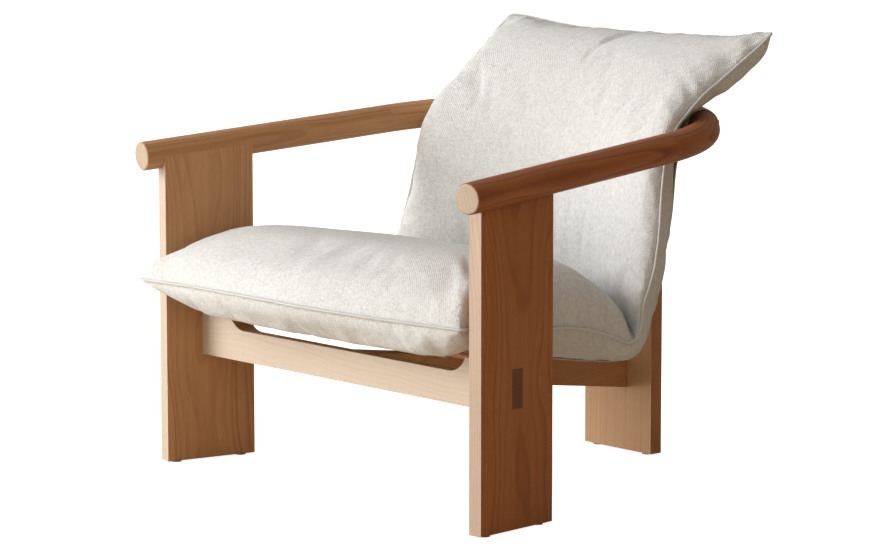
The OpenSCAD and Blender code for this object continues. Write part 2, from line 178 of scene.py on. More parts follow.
def wood(name, local, seed, pith, contrast, depth=1.0, spacing=0.0055, edge=0.0,
         painted_light_and_shade=(PAINTED_LIT_EDGE, PAINTED_LIT_EDGE_DARK), end_grain_and_painted_light=(PAINTED_LIT_END, PAINTED_LIT_END_DARK)):
    """Oiled solid wood. Growth rings, spacing metres apart, circle a pith that wanders along
    the grain, so each face shows the figure that its cut gives, and an end shows the rings.
    Faces squarely facing the piece's Y, a board's narrow faces, take the painted light and shade
    colours by the share edge, and ends take the end colours, whose default is a painted highlight.
    A depth over 1 is a darker, redder tone and under 1 a paler one; on the left board, the left arm
    and bend and the rod it is painted shade, and on the rear board painted light."""
    m = Shader(name)
    p, end, painted_light_shade_faces = local(m)
    shifted = m.add("VectorMath", {0: p, 1: (seed * 1.7, seed * 0.9, seed * 2.3)}, operation="ADD")
    slow = m.stretch(shifted, 5.0, 5.0, 1.6)
    wander = m.add("TexNoise", {"Vector": slow, "Scale": 1.0, "Detail": 2.0, "Roughness": 0.45}, out=1)
    offset = m.add("VectorMath", {0: wander, 1: (0.5, 0.5, 0.5)}, operation="SUBTRACT")
    bend = m.stretch(offset, 0.075, 0.05, 0.0)
    q = m.add("VectorMath", {0: p, 1: bend}, operation="ADD")
    q = m.add("VectorMath", {0: q, 1: (pith[0], pith[1], 0.0)}, operation="SUBTRACT")
    flat = m.stretch(q, 1.0, 1.0, 0.0)
    r = m.add("VectorMath", {0: flat}, out=1, operation="LENGTH")
    rough = m.noise(m.stretch(shifted, 60.0, 60.0, 3.0), 1.0, 2.0)
    r = m.math("ADD", r, m.math("MULTIPLY", m.math("SUBTRACT", rough, 0.5), 0.0022))
    years = m.noise(m.stretch(m.add("CombineXYZ", {0: r, 1: seed * 3.1, 2: 0.0}), 95.0, 1.0, 1.0), 1.0, 2.0)
    r = m.math("ADD", r, m.math("MULTIPLY", m.math("SUBTRACT", years, 0.5), 0.011))
    ring = m.math("FRACT", m.math("DIVIDE", r, spacing))
    late = m.math("POWER", ring, 2.6)
    late = m.math("MULTIPLY", late, m.fit(ring, 1.0, 0.90, 0.0, 1.0))
    late = m.math("MULTIPLY", late, m.fit(years, 0.30, 0.70, 0.35, 1.15))
    fibre = m.noise(m.stretch(shifted, 900.0, 900.0, 14.0), 1.0, 3.0, 0.65)
    streak = m.noise(m.stretch(shifted, 95.0, 95.0, 1.4), 1.0, 3.0, 0.55)
    cloud = m.noise(m.stretch(shifted, 9.0, 9.0, 2.2), 1.0, 2.0)
    pores = m.fit(m.noise(m.stretch(shifted, 1500.0, 1500.0, 60.0), 1.0, 2.0), 0.60, 0.74)
    streaks = m.math("MULTIPLY", m.math("SUBTRACT", streak, 0.5), 0.95 * contrast)
    dark = m.math("ADD", m.math("MULTIPLY", late, contrast), streaks)
    dark = m.math("ADD", dark, m.math("MULTIPLY", m.math("SUBTRACT", fibre, 0.5), 0.34))
    dark = m.math("ADD", dark, m.math("MULTIPLY", m.math("SUBTRACT", cloud, 0.5), 0.40))
    dark = m.fit(m.math("ADD", dark, 0.20), 0.0, 1.0)
    toned = lambda c: rgb(*[v ** depth for v in c])
    color = m.mix(dark, toned(FACE), toned(FACE_DARK))
    # Painted light and shade: faces squarely facing the piece's Y take a pale painted highlight or a dark
    # painted shade.
    side = m.mix(dark, rgb(*painted_light_and_shade[0]), rgb(*painted_light_and_shade[1]))
    color = m.mix(m.math("MULTIPLY", m.fit(painted_light_shade_faces, 0.75, 0.95), edge), color, side)
    color = m.mix(m.math("MULTIPLY", pores, 0.34), color, toned((0.17, 0.075, 0.03)))
    # Ends: the pale default end colours are a painted highlight from the key light; the tenon colours are the
    # tenons' dark end grain.
    cut = m.fit(end, 0.75, 0.92)
    end_grain_and_painted_light_colour = m.mix(m.math("MULTIPLY", late, 0.55), rgb(*end_grain_and_painted_light[0]), rgb(*end_grain_and_painted_light[1]))
    color = m.mix(cut, color, end_grain_and_painted_light_colour)
    height = m.math("ADD", m.math("MULTIPLY", fibre, 0.6), m.math("MULTIPLY", late, -0.35))
    height = m.math("SUBTRACT", height, m.math("MULTIPLY", pores, 0.8))
    gloss = m.fit(m.math("ADD", fibre, late), 0.3, 1.5, 0.46, 0.60)
    return m.finish(color, gloss, height, 0.22, 0.00035, inputs={"Specular IOR Level": 0.42})


# ---- cloth, canvas, metal, plastic ----


def weave(name, base, shade, thread, nub, fuzz):
    """Coarse plain-woven cloth with slubs and curled fibres. Threads are thread metres apart,
    along the metres that the cloth_at attribute holds. Slubs are about nub metres across."""
    m = Shader(name)
    at = m.add("Attribute", out=1, attribute_name="cloth_at")
    warped = m.add("TexNoise", {"Vector": at, "Scale": 160.0, "Detail": 2.0}, out=1)
    wobble = m.add("VectorMath", {0: warped, 1: (0.5, 0.5, 0.5)}, operation="SUBTRACT")
    sep = m.split(m.add("VectorMath", {0: at, 1: m.stretch(wobble, 0.0011, 0.0011, 0.0)}, operation="ADD"))
    k = math.pi / thread
    sx = m.math("SINE", m.math("MULTIPLY", sep[0], k))
    sy = m.math("SINE", m.math("MULTIPLY", sep[1], k))
    over = m.math("MULTIPLY", sx, sy)
    cross = m.fit(over, -1.0, 1.0)
    solid = m.add("TexCoord", out=3)
    yarn_x = m.noise(m.stretch(solid, 1.0 / nub, 0.45 / nub, 0.45 / nub), 1.0, 3.0, 0.6)
    yarn_y = m.noise(m.stretch(solid, 0.45 / nub, 1.0 / nub, 1.0 / nub), 1.0, 3.0, 0.6)
    slub = m.math("ADD", m.math("MULTIPLY", yarn_x, 0.5), m.math("MULTIPLY", yarn_y, 0.5))
    curl = m.noise(solid, 620.0, 3.0, 0.65)
    height = m.math("ADD", m.math("MULTIPLY", cross, 0.45), m.math("MULTIPLY", slub, 1.0))
    height = m.math("ADD", height, m.math("MULTIPLY", curl, 1.3))
    tint = m.math("ADD", m.math("MULTIPLY", slub, 0.65), m.math("MULTIPLY", curl, 0.65))
    tint = m.math("ADD", tint, m.math("MULTIPLY", cross, 0.14))
    cloud = m.noise(solid, 7.0, 2.0)
    color = m.mix(m.fit(tint, 0.55, 0.83), shade, base)
    color = m.mix(m.fit(cloud, 0.3, 0.8, 0.0, 0.10), color, shade)
    return m.finish(color, 0.92, height, fuzz, 0.0021,
                    inputs={"Sheen Weight": 0.25, "Sheen Roughness": 0.6, "Specular IOR Level": 0.15})


def cord_cloth(name, base, shade, pitch):
    """The bias-cut strip around the piping: fine slanting threads."""
    m = Shader(name)
    at = m.add("Attribute", out=1, attribute_name="cloth_at")
    sep = m.split(at)
    k = 2 * math.pi / pitch
    line = m.math("ADD", m.math("MULTIPLY", sep[0], k), m.math("MULTIPLY", sep[1], k))
    wave = m.fit(m.math("SINE", line), -1.0, 1.0)
    curl = m.noise(at, 500.0, 3.0, 0.6)
    height = m.math("ADD", m.math("MULTIPLY", wave, 0.6), curl)
    color = m.mix(m.fit(height, 0.3, 1.4), shade, base)
    return m.finish(color, 0.92, height, 0.7, 0.0008,
                    inputs={"Sheen Weight": 0.25, "Specular IOR Level": 0.15})


def metal(name, base, rough):
    m = Shader(name)
    p = m.add("TexCoord", out=3)
    spots = m.noise(p, 900.0, 3.0, 0.6)
    cloud = m.noise(p, 40.0, 2.0)
    color = m.mix(m.fit(cloud, 0.3, 0.7), rgb(*[c * 0.86 for c in base]), rgb(*base))
    gloss = m.fit(spots, 0.2, 0.8, rough - 0.08, rough + 0.08)
    return m.finish(color, gloss, spots, 0.15, 0.0001, inputs={"Metallic": 1.0})


def plastic(name, base):
    m = Shader(name)
    p = m.add("TexCoord", out=3)
    grit = m.noise(p, 1500.0, 3.0, 0.6)
    color = m.mix(m.fit(grit, 0.3, 0.7), rgb(*[c * 0.85 for c in base]), rgb(*base))
    return m.finish(color, m.fit(grit, 0.3, 0.7, 0.45, 0.6), grit, 0.3, 0.0001)


# ---- shape of the folded cushion, as in the CAD source ----

# From the front edge (u = 0) over the fold (u = 0.5) to the top edge (u = 1), in mm behind the
# boards' front edges. MIDDLE is [y, z] down the middle, and SIDE is [half width, y, z].
MIDDLE = np.array([[-58, 325], [71, 304], [210, 287], [350, 276], [464, 264], [535, 281],
                   [568, 365], [593, 473], [615, 574], [664, 661], [773, 722]], float)
SIDE = np.array([[391, -11, 322], [384, 71, 315], [373, 165, 306], [364, 255, 296], [352, 334, 278],
                 [340, 406, 258], [334, 435, 326], [326, 470, 415], [311, 504, 570],
                 [310, 587, 650], [340, 727, 754]], float)
EAR = (45.0, -28.0, -4.0)                    # how far the sitter's right front corner stands out
SEAT_CROWN, BACK_CROWN, BELLY = 129.0, 74.0, 54.0
SEAM_HALF = 3.0                              # half the thickness that the seam itself has
LENGTH, LENGTH_M = 1150.0, 1.15              # front edge to top edge along the welt, mm and m
ROD_U, TOP_DENT_U = 0.12, 0.853              # where the sling's rod and the round rail dent the cushion
SLACK_SEAT, SLACK_REST = 9.0, 4.0            # what the cover lacks before it is filled, mm


def bell(u, at, width):
    return np.exp(-((u - at) / width) ** 2)


def along(points, u):
    """Smooth curve through the points, with u from 0 to 1."""
    n = len(points) - 1
    f = np.clip(u, 0, 1) * n
    i = np.minimum(f.astype(int), n - 1)
    t = (f - i)[..., None]
    a, b, c, d = (points[np.clip(i + k, 0, n)] for k in (-1, 0, 1, 2))
    return 0.5 * (2 * b + (c - a) * t + (2 * a - 5 * b + 4 * c - d) * t ** 2
                  + (3 * b - a - 3 * c + d) * t ** 3)


def welt(x, u):
    """The surface through the seam. x is -1 at the sitter's right side and 1 at the left."""
    m, s, k = along(MIDDLE, u), along(SIDE, u), (x * x)[..., None]
    e = np.where(x < 0, np.abs(x) ** 3 * bell(u, 0, 0.024), 0)
    yz = m + (s[..., 1:] - m) * k
    blunt = np.clip((np.abs(x) - 0.86) / 0.14, 0, 1) ** 2 * np.clip((u - 0.95) / 0.05, 0, 1) ** 2
    return np.stack([x * (s[..., 0] - 9 * blunt) - e * EAR[0], yz[..., 0] + e * EAR[1] - 5 * blunt,
                     yz[..., 1] + e * EAR[2] - 4 * blunt], -1)


def outward(x, u):
    """Direction away from the sitter, square to the welt surface."""
    d = welt(x, u + 0.004)[..., 1:] - welt(x, u - 0.004)[..., 1:]
    d = d / np.linalg.norm(d, axis=-1, keepdims=True)
    return np.stack([np.zeros_like(x), d[..., 1], -d[..., 0]], -1)


def rise(u, run, power):
    return np.sqrt(np.maximum(1 - (1 - np.minimum(u / run, 1)) ** power, 0))


def belly_at(x, u):
    """Depth of the underside and rear below the welt surface."""
    return ((BELLY - SEAM_HALF - 22 * bell(u, ROD_U, 0.05) - (5 + 15 * x * x) * bell(u, TOP_DENT_U, 0.05))
            * np.maximum(1 - x ** 6, 0) ** 0.4 * rise(u, 0.10, 2.3) * rise(1 - u, 0.055, 2.2))


def crown_at(x, u):
    """Height of the seat's top and the back's front over the welt surface."""
    crown = np.where(u < 0.5, SEAT_CROWN, BACK_CROWN)
    fold = 1 - np.exp(-np.abs(u - 0.5) * LENGTH * 1.1 / crown)
    side = np.where(u < 0.5, np.maximum(1 - x ** 4, 0) ** 0.3, np.maximum(1 - np.abs(x) ** 2.2, 0) ** 0.5)
    return (crown - SEAM_HALF) * fold * side * rise(u, 0.185, 2.45) * rise(1 - u, 0.21, 1.7)


def waves(s, seed, length):
    """Smooth irregular waves of about that length, between -1 and 1."""
    out = np.zeros_like(s)
    rng = np.random.default_rng(seed)
    for k in (0.55, 0.8, 1.0, 1.35, 1.9):
        phase = rng.uniform(0, 2 * math.pi)
        out += np.sin(2 * math.pi * s * k / length + phase) * rng.uniform(0.5, 1.0) / 3.2
    return out


def mesh_object(name, points, faces, smooth=True):
    mesh = bpy.data.meshes.new(name)
    mesh.from_pydata([tuple(p) for p in points], [], [tuple(int(i) for i in f) for f in faces])
    mesh.validate()
    mesh.update()
    if smooth:
        mesh.polygons.foreach_set("use_smooth", [True] * len(mesh.polygons))
    o = bpy.data.objects.new(name, mesh)
    bpy.context.collection.objects.link(o)
    return o


def cloth_at(o, across, down):
    """Stores metres across and along the cloth on each vertex, for the weave."""
    a = o.data.attributes.new("cloth_at", "FLOAT_VECTOR", "POINT")
    at = np.stack([across, down, np.zeros_like(across)], 1)
    a.data.foreach_set("vector", at.astype(np.float32).ravel())


def quads(g):
    """Faces of a grid of vertex numbers."""
    return np.stack([g[:-1, :-1], g[:-1, 1:], g[1:, 1:], g[1:, :-1]], -1).reshape(-1, 4)


def grid_faces(rows, cols, start=0):
    return quads(np.arange(rows * cols).reshape(rows, cols) + start)


def coords(mesh):
    v = np.empty(len(mesh.vertices) * 3, np.float32)
    mesh.vertices.foreach_get("co", v)
    return v.reshape(-1, 3).astype(float)


ACROSS, DOWN = 104, 168         # cells of the cushion's cover, about 7 mm each
FILL_FRAMES = 20


def seam_line(x, u):
    """Slack waves of the sewn edge that is nearest to x and u, in mm off the welt surface."""
    side = np.abs(x) >= np.minimum(1 - 2 * np.abs(u - 0.5), 1)
    s = np.where(side, u * LENGTH_M + 3 * (x > 0), x * 0.38 + 7 * (u > 0.5))
    return 2.8 * waves(s, 3, 0.17) + 1.5 * waves(s, 4, 0.06)


def edge_distance(x, u):
    """Distances in mm to the side, front and top edges."""
    half = along(SIDE, u)[..., 0]
    return (1 - np.abs(x)) * half, u * LENGTH, (1 - u) * LENGTH


def cushion_grid(front):
    """Points, in mm, of the cover's front and top (or rear and underside), with their x and u.
    The seat's front corners are plumped up, and the underside drops a little ahead of the rod."""
    u, x = np.meshgrid(np.linspace(0, 1, DOWN + 1), np.linspace(-1, 1, ACROSS + 1), indexing="ij")
    out = outward(x, u)
    slack = 1 - np.where(u < 0.5, SLACK_SEAT, SLACK_REST) / (SEAT_CROWN - SEAM_HALF)
    plump = (1 + 0.12 * bell(u, 0.075, 0.07) * bell(np.abs(x), 1.0, 0.22)
             + 0.24 * bell(u, 0.03, 0.035) * bell(np.abs(x), 1.0, 0.11))
    drop = 9 * bell(u, 0.055, 0.035) * bell(np.abs(x), 0.82, 0.16) * np.minimum(u / 0.02, 1)
    if front:
        height = -crown_at(x, u) * slack * plump
    else:
        height = belly_at(x, u) * (1 - SLACK_REST / BELLY) + drop
    d_side, d_front, d_top = edge_distance(x, u)
    near = np.minimum(np.minimum(d_side, d_front), d_top)
    lift = seam_line(x, u) * np.exp(-near / 70.0)
    return welt(x, u) + out * (height + lift)[..., None], x, u


def make_cushion():
    """The cover, with each vertex's x and u, and whether it is in the front grid or on the seam."""
    f, x, u = cushion_grid(True)
    b = cushion_grid(False)[0]
    rows, cols = f.shape[:2]
    ids = np.arange(rows * cols).reshape(rows, cols)
    edge = np.zeros((rows, cols), bool)
    edge[[0, -1], :] = True
    edge[:, [0, -1]] = True
    back_ids = np.where(edge, ids, -1)
    back_ids[~edge] = rows * cols + np.arange((~edge).sum())
    points = np.concatenate([f.reshape(-1, 3), b[~edge]]) * MM + SHIFT * MM
    faces = np.concatenate([quads(ids), quads(back_ids)[:, ::-1]])
    o = mesh_object("folded_cushion", points, faces)
    xx = np.concatenate([x.ravel(), x[~edge]])
    uu = np.concatenate([u.ravel(), u[~edge]])
    is_front = np.arange(len(xx)) < rows * cols
    on_edge = np.concatenate([edge.ravel(), np.zeros((~edge).sum(), bool)])
    half = along(SIDE, uu)[..., 0] * MM
    cloth_at(o, xx * half, uu * LENGTH * MM)
    return o, xx, uu, is_front, on_edge


def inflate(o, uu, is_front, on_edge):
    """Fills the cover with a short cloth simulation, seams and fold held, and keeps the result.
    A vertex moves by 9 mm at most, and by less near the fold."""
    rest = coords(o.data)
    crease = is_front & (np.abs(uu - 0.5) < 0.7 / DOWN)
    group = o.vertex_groups.new(name="held")
    group.add([int(i) for i in np.nonzero(on_edge | crease)[0]], 1.0, "REPLACE")
    cloth = o.modifiers.new("cloth", "CLOTH")
    s = cloth.settings
    s.quality = 4
    s.mass = 0.25
    s.tension_stiffness = s.compression_stiffness = 18
    s.shear_stiffness = 6
    s.bending_stiffness = 0.8
    s.vertex_group_mass = "held"
    s.pin_stiffness = 1
    s.shrink_min = -0.015
    s.use_pressure = True
    s.uniform_pressure_force = 3.0
    s.effector_weights.gravity = 0
    cloth.collision_settings.use_collision = False
    scene = bpy.context.scene
    cloth.point_cache.frame_start, cloth.point_cache.frame_end = 1, FILL_FRAMES
    for f in range(1, FILL_FRAMES + 1):
        scene.frame_set(f)
    moved = coords(o.evaluated_get(bpy.context.evaluated_depsgraph_get()).data)
    o.modifiers.remove(cloth)
    scene.frame_set(1)
    step = moved - rest
    size = np.linalg.norm(step, axis=1, keepdims=True)
    room = 0.009 * np.clip(np.abs(uu - 0.5) * LENGTH / 120, 0.15, 1)[:, None]
    step = step * np.where(size > 0, room * np.tanh(size / room) / np.maximum(size, 1e-9), 0)
    o.data.vertices.foreach_set("co", (rest + step).astype(np.float32).ravel())
    o.data.update()
    print("cushion moved at most", round(float(np.linalg.norm(step, axis=1).max()), 4))


def pucker(o, xx, uu, is_front, on_edge):
    """Gathers the cover where the seams pull it, and gives the filling its slow unevenness."""
    p = coords(o.data)
    n = np.empty(len(p) * 3, np.float32)
    o.data.vertices.foreach_get("normal", n)
    n = n.reshape(-1, 3).astype(float)
    d_side, d_front, d_top = edge_distance(xx, uu)
    X, s = p[:, 0], uu * LENGTH_M
    side_seed = np.where(xx > 0, 0.0, 5.0)
    face = np.where(is_front, 0.0, 9.0)
    fade = lambda d, run: np.exp(-d / run) * (1 - np.exp(-d / 5.0))
    top = (waves(X + face, 11, 0.050) * 3.6 + waves(X + face, 12, 0.024) * 1.3) * fade(d_top, 42)
    bottom = waves(X + face, 13, 0.085) * 1.5 * fade(d_front, 34)
    strong = 1.4 + 4.8 * bell(uu, 0.93, 0.07) + 1.2 * bell(uu, 0.5, 0.05)
    sides = waves(s + 0.25 * X + side_seed + face, 14, 0.046) * strong * fade(d_side, 36)
    slow = 2.6 * waves(X + 0.6 * s + face, 15, 0.33) * waves(s - 0.3 * X, 16, 0.41)
    inner = np.clip(np.minimum(np.minimum(d_side, d_front), d_top) / 60, 0, 1)
    up = (top + bottom + sides + slow * inner * np.clip(np.abs(uu - 0.5) * 12, 0, 1)) * MM
    p = p + n * np.where(on_edge, 0, up)[:, None]
    o.data.vertices.foreach_set("co", p.astype(np.float32).ravel())
    o.data.update()


def tube(points, radius, sides):
    """Points and faces of a round tube along a closed line of points."""
    p = np.asarray(points, float)
    n = len(p)
    t = np.roll(p, -1, 0) - np.roll(p, 1, 0)
    t /= np.linalg.norm(t, axis=1, keepdims=True)
    a = np.zeros_like(p)
    a[0] = np.cross(t[0], [0.3, 0.2, 0.9])
    a[0] /= np.linalg.norm(a[0])
    for i in range(1, n):
        a[i] = a[i - 1] - t[i] * (a[i - 1] @ t[i])
        a[i] /= np.linalg.norm(a[i])
    b = np.cross(t, a)
    ang = np.linspace(0, 2 * math.pi, sides, endpoint=False)
    cos, sin = np.cos(ang)[None, :, None], np.sin(ang)[None, :, None]
    ring = p[:, None] + radius * (cos * a[:, None] + sin * b[:, None])
    faces = []
    for i in range(n):
        here, there = i * sides, (i + 1) % n * sides
        for j in range(sides):
            k = (j + 1) % sides
            faces.append((here + j, here + k, there + k, there + j))
    return ring.reshape(-1, 3), faces


def make_piping():
    """Round cord in a bias strip, sewn into the seam all round the cushion."""
    step, radius, sides = 0.006, 0.0024, 12
    def line(x0, u0, x1, u1, length):
        t = np.linspace(0, 1, int(length / step), endpoint=False)
        return np.stack([x0 + (x1 - x0) * t, u0 + (u1 - u0) * t], 1)
    path = np.concatenate([line(-1, 0, 1, 0, 0.84), line(1, 0, 1, 1, 1.2),
                           line(1, 1, -1, 1, 0.68), line(-1, 1, -1, 0, 1.2)])
    x, u = path[:, 0], path[:, 1]
    w = welt(x, u) + outward(x, u) * seam_line(x, u)[:, None]
    mid = along(MIDDLE, np.clip(u, 0.03, 0.97))
    inside = np.stack([x * 0.0, mid[:, 0], mid[:, 1]], 1)
    away = w - inside
    away /= np.linalg.norm(away, axis=1, keepdims=True)
    across = np.where((np.abs(x) > 0.999)[:, None], np.stack([np.sign(x), x * 0, x * 0], 1), away)
    w = (w + across * radius / 2 / MM) * MM + SHIFT * MM
    for _ in range(3):
        w = (np.roll(w, 1, 0) + 2 * w + np.roll(w, -1, 0)) / 4
    seg = np.linalg.norm(np.roll(w, -1, 0) - w, axis=1)
    run = np.concatenate([[0], np.cumsum(seg)[:-1]])
    pts, faces = tube(w, radius, sides)
    o = mesh_object("cushion_piping", pts, faces)
    ang = np.tile(np.linspace(0, 0.0151, sides, endpoint=False), len(w))
    cloth_at(o, ang, np.repeat(run, sides))
    return o


def skin(x_mm, u, d):
    """mm points that lie d off the CAD cushion's underside and rear."""
    k = x_mm / along(SIDE, u)[..., 0]
    p = welt(k, u)
    depth = SEAM_HALF + belly_at(k, u) + d
    return np.stack([x_mm, p[..., 1], p[..., 2]], -1) + outward(k, u) * depth[..., None]


# ---- round rail, sling and its sewing ----

SLING_FROM, SLING_TO, SLING_HALF = 0.126, 0.845, 240
ROD_Y, ROD_Z, ROD_SLEEVE_R = 92, 258, 6.9
WRAP_R = 26.7                                # the canvas's middle around the round rail
WRAP_FROM, WRAP_TO = 5.5, 35                 # degrees along each bend, from the back rail's joint
HEM_FROM, HEM_RISE = 218, 0.9
THREAD_OFF = 4.5                             # the sewing lies on the canvas's outer face


def sling_lean(x_mm, u):
    """How far the sling leaves the cushion, towards its top, to meet the round rail."""
    f = np.clip((u - 0.75) / 0.09, 0, 1)
    return (2 + 28 * bell(np.abs(x_mm), 185, 80)) * f * f


# The round rail's outline lies in one plane that leans up to the back: two arm lines that
# turn in by TOE, a bend on each, and a short straight behind the sitter.
BOARD_Y, RAIL_Z, HALF_W, BEND_R = 709.0, 534.0, 427, 300.0
LEAN, TOE = math.radians(5), math.radians(8)
PLAN_BACK = BOARD_Y / math.cos(LEAN)
CORNER = HALF_W - PLAN_BACK * math.tan(TOE)
BEND_X = CORNER - BEND_R * math.tan((math.pi / 2 - TOE) / 2)
BEND_Y = PLAN_BACK - BEND_R


def from_rail_plane(p):
    """mm in the rail's own plane to metres in the CAD frame."""
    x, y, z = p[..., 0], p[..., 1], p[..., 2]
    cos, sin = math.cos(LEAN), math.sin(LEAN)
    return (np.stack([x, y * cos - z * sin, RAIL_Z + y * sin + z * cos], -1) + SHIFT) * MM


def around_bend(side, t, radius, a):
    """Metres, at the angle t along a bend and the angle a around the rail."""
    r = BEND_R + radius * np.cos(a)
    return from_rail_plane(np.stack([side * (BEND_X + r * np.cos(t)), BEND_Y + r * np.sin(t),
                                     radius * np.sin(a) + 0 * t], -1))


def make_sling():
    """Canvas panel under the cushion, its rod sleeve, and the two wraps around the rail."""
    points, faces, at = [], [], []
    def put(p, across, down):
        start = sum(len(q) for q in points)
        rows, cols = p.shape[:2]
        faces.append(grid_faces(rows, cols, start))
        points.append(p.reshape(-1, 3))
        at.append(np.stack([across.ravel(), down.ravel()], 1))
    across = np.linspace(-SLING_HALF, SLING_HALF, 64)
    u, x = np.meshgrid(np.linspace(SLING_FROM, SLING_TO, 110), across, indexing="ij")
    hem = HEM_RISE * (np.clip((np.abs(x) - HEM_FROM) / 2.5, 0, 1))
    p = (skin(x, u, 3.2 + sling_lean(x, u) + hem) + SHIFT) * MM
    put(p, x * MM, u * LENGTH_M)
    a, x = np.meshgrid(np.radians(np.linspace(-150, 165, 40)), across, indexing="ij")
    p = np.stack([x, ROD_Y + ROD_SLEEVE_R * np.sin(a), ROD_Z - ROD_SLEEVE_R * np.cos(a)], -1)
    put((p + SHIFT) * MM, x * MM, 1.4 + a * ROD_SLEEVE_R * MM)
    for side in (1, -1):
        t, a = np.meshgrid(np.radians(np.linspace(90 - WRAP_TO, 90 - WRAP_FROM, 40)),
                           np.radians(np.linspace(-21, 261, 54)), indexing="ij")
        if side < 0:
            t, a = t[::-1], a[::-1]
        put(around_bend(side, t, WRAP_R, a), side * t * BEND_R * MM, 2.0 + a * WRAP_R * MM)
    o = mesh_object("canvas_sling", np.concatenate(points), np.concatenate(faces))
    at = np.concatenate(at)
    cloth_at(o, at[:, 0], at[:, 1])
    thick = o.modifiers.new("cloth_thickness", "SOLIDIFY")
    thick.thickness = 0.0022
    thick.offset = 0
    return o


def stitches(name, lines, size, radius):
    """Sewing thread: one short rounded stitch after another along each line of points (metres)."""
    verts, faces = [], []
    for line in lines:
        seg = np.linalg.norm(np.diff(line, axis=0), axis=1)
        run = np.concatenate([[0], np.cumsum(seg)])
        pitch = size * 1.45
        for i in range(int(run[-1] / pitch)):
            s = np.array([i * pitch + size * k for k in (0, 0.15, 0.5, 0.85, 1.0)])
            c = np.stack([np.interp(s, run, line[:, j]) for j in range(3)], 1)
            d = c[-1] - c[0]
            d /= max(np.linalg.norm(d), 1e-9)
            a = np.cross(d, [0.2, 0.3, 0.93])
            a /= np.linalg.norm(a)
            b = np.cross(d, a)
            start = len(verts)
            for q, r in zip(c, (0.35, 0.85, 1.0, 0.85, 0.35)):
                for ang in np.arange(6) * math.pi / 3:
                    verts.append(q + radius * r * (math.cos(ang) * a + math.sin(ang) * b))
            for k in range(4):
                near, far = start + k * 6, start + k * 6 + 6
                faces += [(near + j, near + (j + 1) % 6, far + (j + 1) % 6, far + j) for j in range(6)]
            faces.append(tuple(start + j for j in reversed(range(6))))
            faces.append(tuple(start + 24 + j for j in range(6)))
    return mesh_object(name, verts, faces)


def make_sling_stitches():
    """Two rows along each hem, one at the rod, two at the top, and one on each wrap's edges."""
    def on_canvas(x, u, hem=0.0):
        return (skin(x, u, THREAD_OFF + hem + sling_lean(x, u)) + SHIFT) * MM
    u = np.linspace(0.14, 0.83, 200)
    lines = [on_canvas(np.full_like(u, x), u, HEM_RISE) for x in (-235, -221, 221, 235)]
    x = np.linspace(-232, 232, 120)
    lines += [on_canvas(x, np.full_like(x, at)) for at in (0.142, 0.828, 0.838)]
    t = np.radians(np.linspace(56, 83.5, 60))
    lines += [around_bend(side, t, 28.0, math.radians(deg)) for side in (1, -1) for deg in (-17, 257)]
    return stitches("sling_stitching", lines, 0.0034, 0.00045)


ZIP_FROM, ZIP_MID, ZIP_TO = 0.935, 0.945, 0.955
TEETH, TOOTH_PITCH = 190, 2.0


